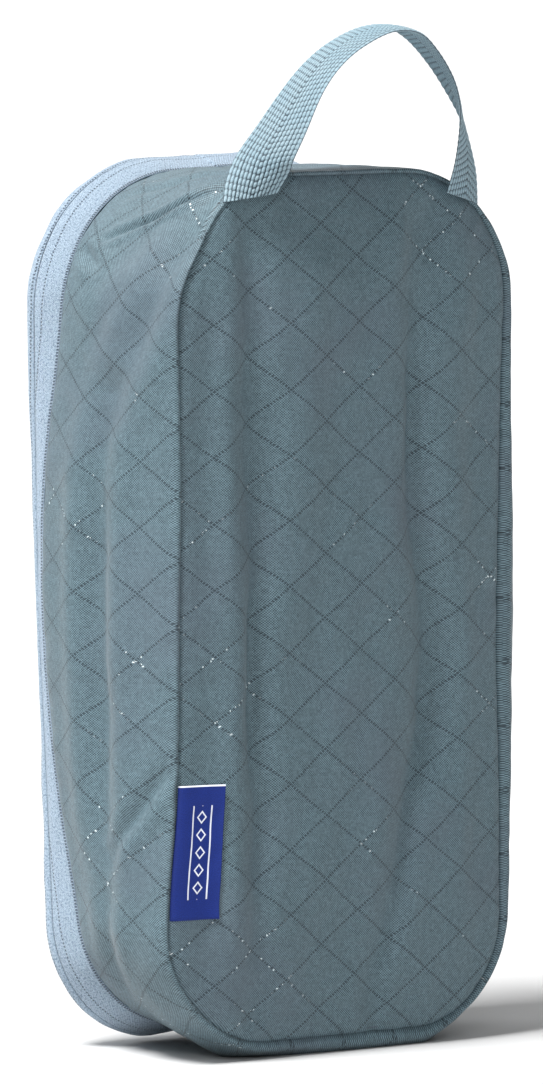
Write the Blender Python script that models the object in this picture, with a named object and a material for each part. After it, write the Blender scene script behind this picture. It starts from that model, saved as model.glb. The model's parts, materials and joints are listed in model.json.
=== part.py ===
"""A soft zipped shoe bag: front panel, one-strip gusset, drop-down back panel and webbing handle.

Units are metres. +Z is up, the front panel faces -Y, and the bag stands on the flat underside of its
gusset at z = 0. The rear rim leans back, so the zipper and the back panel are laid out in rim
coordinates: x across, depth outward from the rear face, and height up along the leaning face.
"""

import math

import bpy
from mathutils import Vector

# Driving dimensions
FRONT_WIDTH = 0.170
FRONT_HEIGHT = 0.357
FRONT_TOP_RADIUS = 0.052
FRONT_BOTTOM_RADIUS = 0.046
FRONT_Y = -0.048
REAR_WIDTH = 0.174
REAR_HEIGHT = 0.362
REAR_TOP_RADIUS = 0.063
REAR_BOTTOM_RADIUS = 0.047
REAR_Y = 0.037
SEAM_LIFT = 0.0065
REAR_LEAN = math.radians(3.5)

CLOTH = 0.0012
GAP = 0.0003
FRONT_DOME = 0.006
BACK_DOME = 0.003

# How far the gusset swells past its two seams
SIDE_SWELL = 0.009
TOP_SWELL = 0.0035
BOTTOM_SWELL = 0.018
CORNER_SWELL = 0.003
SWELL_POWER = 0.6

# Zipper, measured across the side wall from the rear face
ZIP_HALF = 0.012
SLIT = 0.0012
TAPE = 0.0008
COIL_WIDTH = 0.0028
COIL_THICK = 0.0014
TAPE_END_X = 0.022
COIL_END_X = 0.030
STOP_LENGTH = 0.003
STOP_WIDTH = 0.0034

BINDING = 0.0013
BINDING_WIDTH = 0.0075
LID_BINDING_TRIM = 0.0002

# Slider, at its closed place low on the +X side
SLIDER_HEIGHT = 0.062
SLIDER_LENGTH = 0.0135
SLIDER_WIDTH = 0.0115
SLIDER_NECK = 0.0005
PLATE = 0.0012
PLATE_CLEAR = 0.00035
BRIDGE_LENGTH = 0.0100
BRIDGE_WIDTH = 0.0026
BRIDGE_RISE = 0.0026
BRIDGE_THICK = 0.0010
PULL_LENGTH = 0.024
PULL_WIDTH = 0.0068
PULL_THICK = 0.0012
PULL_WINDOW_LENGTH = 0.0064
PULL_WINDOW_WIDTH = 0.0035
PULL_BAR = 0.0012
PIN_SINK = 0.0001

# Handle webbing, sewn to the front of the top seam
STRAP_WIDTH = 0.026
STRAP_THICK = 0.0016
HANDLE_ENDS_X = (-0.050, 0.056)
HANDLE_FOLD_Z = 0.3665
HANDLE_Y = -0.0512
TAIL_LENGTH = 0.010
TAIL_DROP = 0.0012
HANDLE_ROUTE = (
    (-0.0500, -0.0512, 0.3668),
    (-0.0470, -0.0512, 0.3760),
    (-0.0370, -0.0511, 0.3860),
    (-0.0220, -0.0506, 0.4000),
    (-0.0020, -0.0501, 0.4140),
    (0.0190, -0.0500, 0.4205),
    (0.0380, -0.0502, 0.4155),
    (0.0520, -0.0506, 0.4005),
    (0.0570, -0.0511, 0.3850),
    (0.0560, -0.0512, 0.3668),
)
HANDLE_STEPS = 40
TWIST_LENGTH = 0.022

# Woven label, sewn into the front seam on the -X side
LABEL_WIDTH = 0.025
LABEL_HEIGHT = 0.055
LABEL_THICK = 0.0006
LABEL_BOTTOM = 0.0605
LABEL_X = -0.0875
LABEL_Y = -0.0508
LABEL_TILT = math.radians(11)

CORNER_STEPS = 7
SIDE_STEPS = 8
TOP_STEPS = 6
GUSSET_STATIONS = (0.0, 0.09, 0.25, 0.5, 0.75, 0.91, 1.0)
PANEL_RINGS = (1.0, 0.95, 0.82, 0.62, 0.36)

COLOURS = {
    "cloth": (0.115, 0.152, 0.180),
    "tape": (0.46, 0.58, 0.70),
    "coil": (0.20, 0.26, 0.33),
    "binding": (0.10, 0.13, 0.16),
    "webbing": (0.36, 0.50, 0.56),
    "slider": (0.34, 0.38, 0.42),
    "label": (0.035, 0.070, 0.34),
}


def clear_scene():
    for obj in list(bpy.data.objects):
        bpy.data.objects.remove(obj, do_unlink=True)


def make_material(name, metallic=0.0, roughness=0.8):
    material = bpy.data.materials.new(name)
    material.use_nodes = True
    shader = material.node_tree.nodes["Principled BSDF"]
    shader.inputs["Base Color"].default_value = (*COLOURS[name], 1.0)
    shader.inputs["Metallic"].default_value = metallic
    shader.inputs["Roughness"].default_value = roughness
    return material


def front_point(x, height, y=FRONT_Y):
    return Vector((x, y, SEAM_LIFT + height))


def rear_point(x, depth, height):
    """A point of the leaning rear rim. Depth is negative towards the front."""
    y = REAR_Y + depth * math.cos(REAR_LEAN) + height * math.sin(REAR_LEAN)
    z = SEAM_LIFT - depth * math.sin(REAR_LEAN) + height * math.cos(REAR_LEAN)
    return Vector((x, y, z))


def outline(width, height, top_radius, bottom_radius, start_x=0.0):
    """(x, height, normal x, normal height) round the outline, from bottom centre towards +X.

    With a start_x the outline is open: it leaves out the bottom between -start_x and +start_x.
    """
    half = width / 2
    points = []

    def straight(a, b, steps, normal):
        for i in range(steps):
            t = i / steps
            points.append((a[0] + (b[0] - a[0]) * t, a[1] + (b[1] - a[1]) * t, *normal))

    def corner(centre, radius, first_angle):
        for i in range(CORNER_STEPS):
            angle = first_angle + math.pi / 2 * i / CORNER_STEPS
            direction = (math.cos(angle), math.sin(angle))
            point = (centre[0] + radius * direction[0], centre[1] + radius * direction[1])
            points.append((*point, *direction))

    low, high = bottom_radius, height - top_radius
    straight((start_x, 0), (half - bottom_radius, 0), TOP_STEPS // 2, (0, -1))
    corner((half - bottom_radius, low), bottom_radius, -math.pi / 2)
    straight((half, low), (half, high), SIDE_STEPS, (1, 0))
    corner((half - top_radius, high), top_radius, 0)
    straight((half - top_radius, height), (top_radius - half, height), TOP_STEPS, (0, 1))
    corner((top_radius - half, high), top_radius, math.pi / 2)
    straight((-half, high), (-half, low), SIDE_STEPS, (-1, 0))
    corner((bottom_radius - half, low), bottom_radius, math.pi)
    straight((bottom_radius - half, 0), (-start_x, 0), TOP_STEPS // 2, (0, -1))
    if start_x:
        points.append((-start_x, 0, 0, -1))
    return points


def front_outline():
    return outline(FRONT_WIDTH, FRONT_HEIGHT, FRONT_TOP_RADIUS, FRONT_BOTTOM_RADIUS)


def rear_outline(start_x=0.0):
    return outline(REAR_WIDTH, REAR_HEIGHT, REAR_TOP_RADIUS, REAR_BOTTOM_RADIUS, start_x)


def make_object(name, points, faces, material, pivot=(0, 0, 0), smooth=True):
    """An object whose origin is the pivot, made from points given in world space."""
    pivot = Vector(pivot)
    mesh = bpy.data.meshes.new(name)
    mesh.from_pydata([Vector(p) - pivot for p in points], [], faces)
    mesh.validate()
    mesh.materials.append(material)
    if smooth:
        mesh.shade_smooth()
        mesh.set_sharp_from_angle(angle=math.radians(40))
    obj = bpy.data.objects.new(name, mesh)
    obj.location = pivot
    bpy.context.scene.collection.objects.link(obj)
    return obj


def sweep(name, sections, material, closed=True, pivot=(0, 0, 0)):
    """A solid whose skin joins each section, a loop of points, to the next one."""
    size = len(sections[0])
    count = len(sections)
    points = [p for section in sections for p in section]
    faces = []
    for i in range(count if closed else count - 1):
        here, after = i * size, (i + 1) % count * size
        for j in range(size):
            k = (j + 1) % size
            faces.append((here + j, here + k, after + k, after + j))
    if not closed:
        faces.append(tuple(reversed(range(size))))
        faces.append(tuple(range((count - 1) * size, count * size)))
    return make_object(name, points, faces, material, pivot)


def rear_band(name, material, depths, insets, start_x=0.0, pivot=(0, 0, 0)):
    """A flat band round the rear rim, between two depths and between two insets from the outline."""
    sections = []
    for x, height, out_x, out_h in rear_outline(start_x):
        section = []
        for depth, inset in (
            (depths[0], insets[0]),
            (depths[1], insets[0]),
            (depths[1], insets[1]),
            (depths[0], insets[1]),
        ):
            section.append(rear_point(x - out_x * inset, depth, height - out_h * inset))
        sections.append(section)
    return sweep(name, sections, material, closed=not start_x, pivot=pivot)


def front_band(name, material, ys, insets):
    """A flat band round the front seam, between two y values and two insets from the outline."""
    sections = []
    for x, height, out_x, out_h in front_outline():
        section = []
        for y, inset in ((ys[0], insets[0]), (ys[1], insets[0]), (ys[1], insets[1]), (ys[0], insets[1])):
            section.append(front_point(x - out_x * inset, height - out_h * inset, y))
        sections.append(section)
    return sweep(name, sections, material)


def swell_at(height, out_x, out_h):
    """The gusset's greatest swell at one place round the outline."""
    along = height / FRONT_HEIGHT
    side = (SIDE_SWELL - CORNER_SWELL) * abs(out_x) ** 6 * math.sin(math.pi * along)
    top = (TOP_SWELL - CORNER_SWELL) * max(0.0, out_h) ** 4
    bottom = (BOTTOM_SWELL - CORNER_SWELL) * max(0.0, -out_h) ** 4
    return CORNER_SWELL + side + top + bottom


def gusset_point(front, rear, station, inset):
    x, height, out_x, out_h = front
    near = front_point(x, height)
    far = rear_point(rear[0], -2 * ZIP_HALF, rear[1])
    swell = swell_at(height, out_x, out_h) * math.sin(math.pi * station) ** SWELL_POWER
    point = near.lerp(far, station) + Vector((out_x, 0, out_h)) * (swell - inset)
    point.z = max(point.z, inset)
    return point


def make_gusset(material):
    sections = []
    for front, rear in zip(front_outline(), rear_outline()):
        outer = [gusset_point(front, rear, station, 0.0) for station in GUSSET_STATIONS]
        inner = [gusset_point(front, rear, station, CLOTH) for station in GUSSET_STATIONS]
        sections.append(outer + inner[::-1])
    return sweep("side_gusset", sections, material)


def make_panel(name, material, loop, centre, dome, lift, place, pivot=(0, 0, 0)):
    """A panel with a raised middle. place(x, height, offset) gives a point offset outwards."""
    points, faces = [], []
    size = len(loop)
    rings = len(PANEL_RINGS)
    for side in (lift, lift + CLOTH):
        for scale in PANEL_RINGS:
            rise = dome * (1 - scale**2)
            for x, height, _, _ in loop:
                points.append(place(x * scale, centre + (height - centre) * scale, side + rise))
        points.append(place(0.0, centre, side + dome))
    layer = rings * size + 1
    for side in (0, 1):
        first = side * layer
        for ring in range(rings - 1):
            for j in range(size):
                k = (j + 1) % size
                a, b = first + ring * size, first + (ring + 1) * size
                face = (a + j, a + k, b + k, b + j)
                faces.append(face if side else face[::-1])
        last = first + (rings - 1) * size
        for j in range(size):
            face = (last + j, last + (j + 1) % size, first + layer - 1)
            faces.append(face if side else face[::-1])
    for j in range(size):
        k = (j + 1) % size
        faces.append((j, k, layer + k, layer + j))
    return make_object(name, points, faces, material, pivot)


def make_front_panel(material):
    loop = front_outline()

    def place(x, height, offset):
        return front_point(x, height, FRONT_Y - offset)

    return make_panel("front_panel", material, loop, FRONT_HEIGHT / 2, FRONT_DOME, GAP, place)


def make_back_panel(material, pivot):
    loop = rear_outline()[::-1]

    def place(x, height, offset):
        return rear_point(x, offset, height)

    return make_panel("back_panel", material, loop, REAR_HEIGHT / 2, BACK_DOME, 0.0, place, pivot)


def box_points(lows, highs, place):
    """The eight corners of a box, in the order that BOX_FACES uses."""
    corners = []
    for c in (lows[2], highs[2]):
        for a, b in ((lows[0], lows[1]), (highs[0], lows[1]), (highs[0], highs[1]), (lows[0], highs[1])):
            corners.append(place(a, b, c))
    return corners


BOX_FACES = [(3, 2, 1, 0), (4, 5, 6, 7), (0, 1, 5, 4), (1, 2, 6, 5), (2, 3, 7, 6), (3, 0, 4, 7)]


def make_box(name, lows, highs, place, material, pivot=(0, 0, 0), bevel=0.0):
    obj = make_object(name, box_points(lows, highs, place), BOX_FACES, material, pivot)
    if bevel:
        modifier = obj.modifiers.new("Bevel", "BEVEL")
        modifier.width = bevel
        modifier.segments = 2
    return obj


def make_hinge_strip(material):
    lows = (-TAPE_END_X + GAP, -2 * ZIP_HALF + GAP, 0.0)
    highs = (TAPE_END_X - GAP, -GAP, CLOTH)
    return make_box("hinge_strip", lows, highs, rear_point, material)


def make_join_tape(material):
    def place(x, y, z):
        return Vector((x, y, z))

    lows = (-0.006, FRONT_Y + 0.010, CLOTH + GAP)
    highs = (0.006, 0.003, CLOTH + GAP + BINDING)
    return make_box("gusset_join_tape", lows, highs, place, material)


def make_stops(material):
    """A crimp on the body side of the tape, just past each end of the coil."""
    lip = -ZIP_HALF - SLIT / 2
    inner = TAPE + GAP
    far = COIL_END_X - GAP
    near = far - STOP_LENGTH
    for name, low_x, high_x in (("zipper_stop_right", near, far), ("zipper_stop_left", -far, -near)):
        lows = (low_x, lip - STOP_WIDTH, inner)
        highs = (high_x, lip, inner + COIL_THICK)
        make_box(name, lows, highs, rear_point, material)


def slider_place(out, across, along):
    """A point by the slider: out from the tape's face, across the slit, and up along the zipper."""
    return rear_point(REAR_WIDTH / 2 + out, -ZIP_HALF + across, SLIDER_HEIGHT + along)


def make_slider(material, pivot):
    """Two plates either side of the zipper, joined by a thin neck through the slit."""
    outer_face = PLATE_CLEAR
    inner_face = -(TAPE + GAP + COIL_THICK + PLATE_CLEAR)
    neck = SLIDER_NECK / 2
    sections = []
    for along, share in ((-0.5, 0.62), (-0.36, 0.90), (0.0, 1.0), (0.36, 0.90), (0.5, 0.66)):
        half = SLIDER_WIDTH / 2 * share
        profile = (
            (outer_face + PLATE, -half),
            (outer_face + PLATE, half),
            (outer_face, half),
            (outer_face, neck),
            (inner_face, neck),
            (inner_face, half),
            (inner_face - PLATE, half),
            (inner_face - PLATE, -half),
            (inner_face, -half),
            (inner_face, -neck),
            (outer_face, -neck),
            (outer_face, -half),
        )
        sections.append([slider_place(out, across, along * SLIDER_LENGTH) for out, across in profile])
    return sweep("slider_body", sections, material, closed=False, pivot=pivot)


def bar_sections(route, half_width, thick, place):
    """Sections of a flat bar along a route of (out, along) points."""
    sections = []
    for i, (out, along) in enumerate(route):
        before = Vector(route[max(i - 1, 0)])
        after = Vector(route[min(i + 1, len(route) - 1)])
        direction = (after - before).normalized()
        side = Vector((-direction.y, direction.x)) * thick / 2
        section = []
        for sign, across in ((1, -half_width), (1, half_width), (-1, half_width), (-1, -half_width)):
            section.append(place(out + sign * side.x, across, along + sign * side.y))
        sections.append(section)
    return sections


def make_bridge(material, pivot):
    """An arch over the slider's outer plate, which the pull tab hangs from."""
    foot = PLATE_CLEAR + PLATE + GAP
    top = foot + BRIDGE_RISE + BRIDGE_THICK / 2
    half = BRIDGE_LENGTH / 2 - BRIDGE_THICK / 2
    shoulder = foot + BRIDGE_RISE * 0.6
    route = [(foot, -half), (shoulder, -half)]
    for i in range(1, 8):
        angle = math.pi * i / 8
        out = shoulder + (top - shoulder) * math.sin(angle) ** 0.6
        route.append((out, -half * math.cos(angle)))
    route += [(shoulder, half), (foot, half)]
    sections = bar_sections(route, BRIDGE_WIDTH / 2, BRIDGE_THICK, slider_place)
    return sweep("slider_bridge", sections[::-1], material, closed=False, pivot=pivot)


def pull_axis_out():
    foot = PLATE_CLEAR + PLATE + GAP
    return foot + BRIDGE_RISE / 2 - PIN_SINK


def make_pull(material, pivot):
    """A flat tab whose top bar runs under the bridge: a frame round a window, then a plate."""
    out = pull_axis_out()
    thick = PULL_THICK / 2
    half = PULL_WIDTH / 2
    window = PULL_WINDOW_WIDTH / 2
    top = PULL_BAR / 2
    sill = -top - PULL_WINDOW_LENGTH
    bottom = -PULL_LENGTH
    outer = [(-half, top), (half, top), (half, sill), (half * 0.86, bottom + 0.003),
             (half * 0.55, bottom), (-half * 0.55, bottom), (-half * 0.86, bottom + 0.003), (-half, sill)]
    inner = [(-window, -top), (window, -top), (window, sill + 0.001), (window * 0.8, sill),
             (window * 0.4, sill - 0.0004), (-window * 0.4, sill - 0.0004),
             (-window * 0.8, sill), (-window, sill + 0.001)]
    size = len(outer)
    points = []
    for level in (-thick, thick):
        for loop in (outer, inner):
            points += [slider_place(out + level, across, along) for across, along in loop]
    faces = []
    for j in range(size):
        k = (j + 1) % size
        low_out, low_in, high_out, high_in = 0, size, 2 * size, 3 * size
        faces.append((low_out + j, low_out + k, low_in + k, low_in + j))
        faces.append((high_out + k, high_out + j, high_in + j, high_in + k))
        faces.append((low_out + k, low_out + j, high_out + j, high_out + k))
        faces.append((low_in + j, low_in + k, high_in + k, high_in + j))
    return make_object("slider_pull_tab", points, faces, material, pivot)


def spline_points(route, per_span=12):
    """Points along a smooth Catmull-Rom curve through the route."""
    points = [Vector(p) for p in route]
    padded = [points[0] * 2 - points[1], *points, points[-1] * 2 - points[-2]]
    curve = []
    for a, b, c, d in zip(padded, padded[1:], padded[2:], padded[3:]):
        for i in range(per_span):
            t = i / per_span
            curve.append(0.5 * (2 * b + (c - a) * t + (2 * a - 5 * b + 4 * c - d) * t * t
                                + (3 * b - a - 3 * c + d) * t**3))
    curve.append(points[-1])
    return curve


def evenly_spaced(curve, steps):
    """Points at equal distances along the curve, and the curve's length."""
    lengths = [0.0]
    for a, b in zip(curve, curve[1:]):
        lengths.append(lengths[-1] + (b - a).length)
    points = []
    for i in range(steps + 1):
        target = lengths[-1] * i / steps
        j = max(k for k in range(len(curve) - 1) if lengths[k] <= target)
        share = (target - lengths[j]) / (lengths[j + 1] - lengths[j])
        points.append(curve[j].lerp(curve[j + 1], share))
    return points, lengths[-1]


def strap_sections(curve, width_directions):
    sections = []
    last = len(curve) - 1
    for i, point in enumerate(curve):
        tangent = (curve[min(i + 1, last)] - curve[max(i - 1, 0)]).normalized()
        if i in (0, last):
            tangent = Vector((0, 0, 1 if i == 0 else -1))
        across = width_directions[i]
        across = (across - tangent * across.dot(tangent)).normalized()
        normal = tangent.cross(across)
        section = []
        for side, face in ((-1, -1), (1, -1), (1, 1), (-1, 1)):
            section.append(point + across * side * STRAP_WIDTH / 2 + normal * face * STRAP_THICK / 2)
        sections.append(section)
    return sections


def make_handle(material):
    """The standing arch. Its ends lie flat along the seam and twist until the width runs along Y."""
    curve, length = evenly_spaced(spline_points(HANDLE_ROUTE), HANDLE_STEPS)
    directions = []
    for i in range(HANDLE_STEPS + 1):
        share = i / HANDLE_STEPS
        reach = min(share, 1 - share) * length / TWIST_LENGTH
        turn = math.pi / 2 * min(1.0, reach)
        side = -1 if share > 0.5 else 1
        directions.append(Vector((side * math.cos(turn), -math.sin(turn), 0)))
    pivot = (0, HANDLE_Y, HANDLE_FOLD_Z)
    return sweep("handle_webbing", strap_sections(curve, directions), material, closed=False, pivot=pivot)


def make_tail(name, x, material):
    """A sewn end of the webbing, flat on the front of the top seam."""
    half = STRAP_WIDTH / 2

    def place(a, b, c):
        return Vector((x + a, b, c))

    top = HANDLE_FOLD_Z - TAIL_DROP
    lows = (-half, HANDLE_Y - STRAP_THICK / 2, top - TAIL_LENGTH)
    highs = (half, HANDLE_Y + STRAP_THICK / 2, top)
    return make_box(name, lows, highs, place, material)


def make_label(material):
    cos, sin = math.cos(LABEL_TILT), math.sin(LABEL_TILT)

    def place(along, out, z):
        return Vector((LABEL_X + along * cos - out * sin, LABEL_Y - along * sin - out * cos, z))

    lows = (0.0, -LABEL_THICK / 2, LABEL_BOTTOM)
    highs = (LABEL_WIDTH, LABEL_THICK / 2, LABEL_BOTTOM + LABEL_HEIGHT)
    obj = make_box("woven_label", lows, highs, place, material, pivot=(LABEL_X, LABEL_Y, LABEL_BOTTOM))
    obj.data.flip_normals()
    return obj


def make_zipper(tape, coil, lid_pivot):
    slit = SLIT / 2
    inner = TAPE + GAP
    insets = (0.0, TAPE)
    coil_insets = (inner, inner + COIL_THICK)
    edge = ZIP_HALF + slit
    lid_edge = ZIP_HALF - slit
    rear_band("zipper_tape_body", tape, (-2 * ZIP_HALF + GAP, -edge), insets, TAPE_END_X)
    rear_band("zipper_tape_lid", tape, (-lid_edge, -GAP), insets, TAPE_END_X, lid_pivot)
    rear_band("zipper_coil_body", coil, (-edge - COIL_WIDTH, -edge), coil_insets, COIL_END_X)
    rear_band("zipper_coil_lid", coil, (-lid_edge, -lid_edge + COIL_WIDTH), coil_insets, COIL_END_X, lid_pivot)


def make_bindings(material, lid_pivot):
    wall = CLOTH + GAP
    front_band("front_seam_binding", material, (FRONT_Y + GAP, FRONT_Y + GAP + BINDING_WIDTH),
               (wall, wall + BINDING))
    rim = -2 * ZIP_HALF
    rear_band("gusset_rim_binding", material, (rim - BINDING_WIDTH, rim), (wall, wall + BINDING))
    rear_band("lid_seam_binding", material, (-GAP - BINDING_WIDTH, -GAP), (wall, wall + BINDING - LID_BINDING_TRIM),
              pivot=lid_pivot)


def main():
    clear_scene()
    cloth = make_material("cloth")
    tape = make_material("tape")
    coil = make_material("coil", roughness=0.5)
    binding = make_material("binding")
    webbing = make_material("webbing")
    metal = make_material("slider", metallic=0.8, roughness=0.4)
    label = make_material("label", roughness=0.7)

    lid_pivot = rear_point(0, 0, 0)
    slider_pivot = slider_place(0, 0, 0)
    pull_pivot = slider_place(pull_axis_out(), 0, 0)

    make_front_panel(cloth)
    make_gusset(cloth)
    make_back_panel(cloth, lid_pivot)
    make_hinge_strip(cloth)
    make_join_tape(binding)
    make_zipper(tape, coil, lid_pivot)
    make_stops(metal)
    make_bindings(binding, lid_pivot)
    make_slider(metal, slider_pivot)
    make_bridge(metal, slider_pivot)
    make_pull(metal, pull_pivot)
    make_handle(webbing)
    for name, x in zip(("handle_tail_left", "handle_tail_right"), HANDLE_ENDS_X):
        make_tail(name, x, webbing)
    make_label(label)


main()
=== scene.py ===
"""The looks of a soft zipped shoe bag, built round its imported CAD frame. Units are metres.

The cloth is laid out on two outlines: the front seam, in the plane y = FRONT_Y, and the rear rim, which
leans back with the zipper. Cloth coordinates (the UV maps) are in metres, so that every weave, dashed
grid and stitch has its real size.
"""

import json
import math

import bmesh
import bpy
import numpy as np
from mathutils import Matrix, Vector


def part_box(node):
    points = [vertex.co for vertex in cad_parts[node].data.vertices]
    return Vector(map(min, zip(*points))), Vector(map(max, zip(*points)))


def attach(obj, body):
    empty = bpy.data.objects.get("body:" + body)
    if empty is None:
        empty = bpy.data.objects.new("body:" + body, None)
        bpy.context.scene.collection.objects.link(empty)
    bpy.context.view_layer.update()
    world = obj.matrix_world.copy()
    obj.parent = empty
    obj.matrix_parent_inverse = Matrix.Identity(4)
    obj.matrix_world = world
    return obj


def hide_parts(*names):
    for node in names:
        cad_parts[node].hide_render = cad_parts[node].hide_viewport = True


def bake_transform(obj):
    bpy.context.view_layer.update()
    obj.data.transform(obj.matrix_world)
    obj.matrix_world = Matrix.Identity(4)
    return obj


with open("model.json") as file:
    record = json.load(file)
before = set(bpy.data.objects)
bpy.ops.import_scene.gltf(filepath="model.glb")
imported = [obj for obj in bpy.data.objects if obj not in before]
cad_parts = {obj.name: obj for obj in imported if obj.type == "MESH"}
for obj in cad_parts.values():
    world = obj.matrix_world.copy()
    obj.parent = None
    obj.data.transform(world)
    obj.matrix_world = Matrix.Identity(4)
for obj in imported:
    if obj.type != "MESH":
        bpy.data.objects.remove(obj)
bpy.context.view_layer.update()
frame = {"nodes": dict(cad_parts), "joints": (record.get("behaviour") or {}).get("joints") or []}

JOINTS = {joint["name"]: joint for joint in frame["joints"]}

MM = 0.001

# -------- places that the frame gives

LID_PIVOT = np.array(JOINTS["lid_open"]["pos_m"])
RIM_UP = np.array(JOINTS["zipper_slide"]["axis"])
RIM_OUT = np.array([0.0, RIM_UP[2], -RIM_UP[1]])


def rim_extent(node):
    """(lowest, highest) of a node across x, out of the rear face, and up the leaning rim."""
    points = np.array([vertex.co for vertex in frame["nodes"][node].data.vertices]) - LID_PIVOT
    local = np.stack([points[:, 0], points @ RIM_OUT, points @ RIM_UP], axis=1)
    return local.min(0), local.max(0)


FRONT_LOW, FRONT_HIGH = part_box("front_panel")
FRONT_WIDTH = FRONT_HIGH.x - FRONT_LOW.x
FRONT_HEIGHT = FRONT_HIGH.z - FRONT_LOW.z
SEAM_LIFT = FRONT_LOW.z
FRONT_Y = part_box("side_gusset")[0].y
TAPE_LOW, TAPE_HIGH = rim_extent("zipper_tape_body")
REAR_WIDTH = TAPE_HIGH[0] - TAPE_LOW[0]
REAR_HEIGHT = TAPE_HIGH[2] - TAPE_LOW[2]
ZIP_BACK = TAPE_HIGH[1]
GUSSET_BACK = TAPE_LOW[1]
LID_TAPE_FRONT = rim_extent("zipper_tape_lid")[0][1]
SLIT = (ZIP_BACK + LID_TAPE_FRONT) / 2
HINGE_HALF = rim_extent("hinge_strip")[1][0]
COIL_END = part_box("zipper_stop_right")[1].x

FRONT_TOP_RADIUS = 0.052
FRONT_BOTTOM_RADIUS = 0.046
REAR_TOP_RADIUS = 0.063
REAR_BOTTOM_RADIUS = 0.047

CLOTH_THICK = 0.5 * MM
STITCH_LONG = 2.2 * MM
STITCH_PITCH = 3.0 * MM
STITCH_RADIUS = 0.17 * MM
STITCH_LIFT = 0.12 * MM

# Points along the bottom half, a bottom corner, a side, a top corner and the whole top
COUNTS = (24, 60, 200, 84, 70)


# -------- numbers and curves

OCTAVES = 3
WAVES_PER_OCTAVE = 6


def smooth_noise(seed, points, scale):
    """Smooth noise of about -1 to 1 at points, a (..., d) array, with features of one scale and smaller."""
    random = np.random.default_rng(seed)
    flat = points.reshape(-1, points.shape[-1])
    total = np.zeros(len(flat))
    weight = 0.0
    for octave in range(OCTAVES):
        for _ in range(WAVES_PER_OCTAVE):
            direction = random.normal(size=flat.shape[1])
            direction *= 2 * np.pi * 2**octave / (scale * np.linalg.norm(direction))
            total += np.sin(flat @ direction + random.uniform(0, 2 * np.pi)) * 0.5**octave
        weight += WAVES_PER_OCTAVE * 0.5 ** (2 * octave)
    return (total / math.sqrt(weight)).reshape(points.shape[:-1])


def stack(*columns):
    """Arrays side by side along a new last axis, stretched to one shape."""
    return np.stack(np.broadcast_arrays(*columns), axis=-1)


def unit(vectors):
    return vectors / np.linalg.norm(vectors, axis=-1, keepdims=True)


def bell(values, centre, width):
    return np.exp(-(((values - centre) / width) ** 2))


def catmull(points, per_span):
    """A smooth curve through the rows of an array."""
    points = np.asarray(points, float)
    padded = np.vstack([2 * points[0] - points[1], points, 2 * points[-1] - points[-2]])
    rows = []
    for i in range(len(points) - 1):
        a, b, c, d = padded[i : i + 4]
        for t in np.arange(per_span) / per_span:
            rows.append(0.5 * (2 * b + (c - a) * t + (2 * a - 5 * b + 4 * c - d) * t**2
                               + (3 * b - a - 3 * c + d) * t**3))
    return np.array(rows + [points[-1]])


def lengths_along(points):
    steps = np.linalg.norm(np.diff(points, axis=0), axis=1)
    return np.concatenate([[0.0], np.cumsum(steps)])


def resample(points, count, columns=3):
    """The rows of an array again, at equal distances along its first few columns."""
    along = lengths_along(points[:, :columns])
    wanted = np.linspace(0, along[-1], count)
    return np.stack([np.interp(wanted, along, column) for column in points.T], axis=1)


def distance_to_path(points, path):
    """Distance from each point to a path, and how far along the path (0 to 1) the nearest place is."""
    best = np.full(points.shape[:-1], np.inf)
    share = np.zeros(points.shape[:-1])
    along = lengths_along(path)
    for i, (a, b) in enumerate(zip(path, path[1:])):
        run = b - a
        t = np.clip((points - a) @ run / (run @ run), 0, 1)
        distance = np.linalg.norm(points - (a + t[..., None] * run), axis=-1)
        nearer = distance < best
        best[nearer] = distance[nearer]
        share[nearer] = ((along[i] + t * (along[i + 1] - along[i])) / along[-1])[nearer]
    return best, share


def outline(width, height, top_radius, bottom_radius, start_x=0.0):
    """Points, outward normals and cloth lengths round an outline, from bottom centre towards +X."""
    half = width / 2
    rows = []

    def straight(a, b, count, normal):
        for t in np.arange(count) / count:
            rows.append((a[0] + (b[0] - a[0]) * t, a[1] + (b[1] - a[1]) * t, *normal))

    def corner(x, height_, radius, first, count):
        for angle in first + np.pi / 2 * np.arange(count) / count:
            c, s = np.cos(angle), np.sin(angle)
            rows.append((x + radius * c, height_ + radius * s, c, s))

    low, high = bottom_radius, height - top_radius
    bottom, low_corner, side, top_corner, top = COUNTS
    straight((start_x, 0), (half - low, 0), bottom, (0, -1))
    corner(half - low, low, low, -np.pi / 2, low_corner)
    straight((half, low), (half, high), side, (1, 0))
    corner(half - top_radius, high, top_radius, 0, top_corner)
    straight((half - top_radius, height), (top_radius - half, height), top, (0, 1))
    corner(top_radius - half, high, top_radius, np.pi / 2, top_corner)
    straight((-half, high), (-half, low), side, (-1, 0))
    corner(low - half, low, low, np.pi, low_corner)
    straight((low - half, 0), (-start_x, 0), bottom, (0, -1))
    if start_x:
        rows.append((-start_x, 0, 0, -1))
    rows = np.array(rows)
    return rows[:, :2], rows[:, 2:]


def front_place(flat, y):
    """Points of the front seam's frame. flat is (..., 2): x and height. y is in the row frame."""
    return stack(flat[..., 0], y, SEAM_LIFT + flat[..., 1])


def rear_place(flat, depth):
    """Points of the leaning rim's frame. depth is negative towards the front."""
    across = flat[..., 0, None] * np.array([1.0, 0, 0])
    return LID_PIVOT + across + np.asarray(depth)[..., None] * RIM_OUT + flat[..., 1, None] * RIM_UP


# Where the front seam leaves its plain outline: side, shift along x, height, half height, and the power of
# x by which the shift fades out towards the middle
SEAM_PULLS = (
    (-1, -6.2 * MM, 0.050, 0.045, 3),
    (-1, 6.0 * MM, FRONT_HEIGHT - 0.026, 0.021, 2),
    (-1, 1.0 * MM, 0.225, 0.03, 4),
    (1, -2.0 * MM, 0.165, 0.055, 4),
    (1, 1.5 * MM, 0.305, 0.03, 4),
)


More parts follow.
